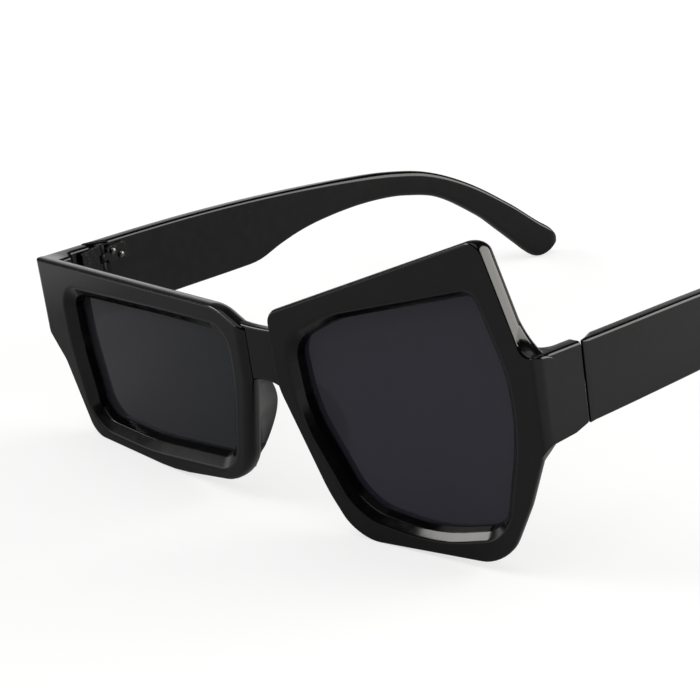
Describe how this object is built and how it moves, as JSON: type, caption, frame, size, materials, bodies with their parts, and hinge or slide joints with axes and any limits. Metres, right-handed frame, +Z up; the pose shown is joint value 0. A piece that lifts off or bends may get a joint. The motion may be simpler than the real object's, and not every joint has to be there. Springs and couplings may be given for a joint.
{
  "type": "sunglasses",
  "caption": "Asymmetric moulded sunglasses: a small four-cornered rim, a large rim rising to a point, flat tinted lenses and wide folding temples on barrel hinges.",
  "frame": {"origin": "middle of the bounding box at table level, with the glasses standing open on both rims and one temple tip", "axes": "+X to the wearer's left, the large rim's side; +Y back along the temples; +Z up from the table"},
  "size_m": [0.148, 0.1656, 0.0709],
  "materials": {
    "gloss_black_plastic": "gloss black, polished",
    "smoke_lens": "dark grey-blue tint, polished",
    "black_hinge_metal": "blackened, satin",
    "dark_steel": "dark, fine turned"
  },
  "bodies": {
    "front": {"front_frame": "gloss_black_plastic", "lens_right": "smoke_lens", "lens_left": "smoke_lens", "front_hinge_right": "black_hinge_metal", "front_hinge_left": "black_hinge_metal", "hinge_screw_right": "dark_steel", "hinge_screw_left": "dark_steel"},
    "right_temple": {"temple_right": "gloss_black_plastic", "temple_hinge_right": "black_hinge_metal", "rivet_upper_right": "dark_steel", "rivet_lower_right": "dark_steel"},
    "left_temple": {"temple_left": "gloss_black_plastic", "temple_hinge_left": "black_hinge_metal", "rivet_upper_left": "dark_steel", "rivet_lower_left": "dark_steel"}
  },
  "joints": [
    {"name": "right_temple_fold", "type": "hinge", "parent": "front", "child": "right_temple", "pos_m": [-0.06995, -0.05745, 0.03109], "axis": [0.074, 0.0422, -0.9964], "range_deg": [0, 88]},
    {"name": "left_temple_fold", "type": "hinge", "parent": "front", "child": "left_temple", "pos_m": [0.07002, -0.05717, 0.03939], "axis": [-0.074, -0.0422, 0.9964], "range_deg": [0, 82]}
  ]
}
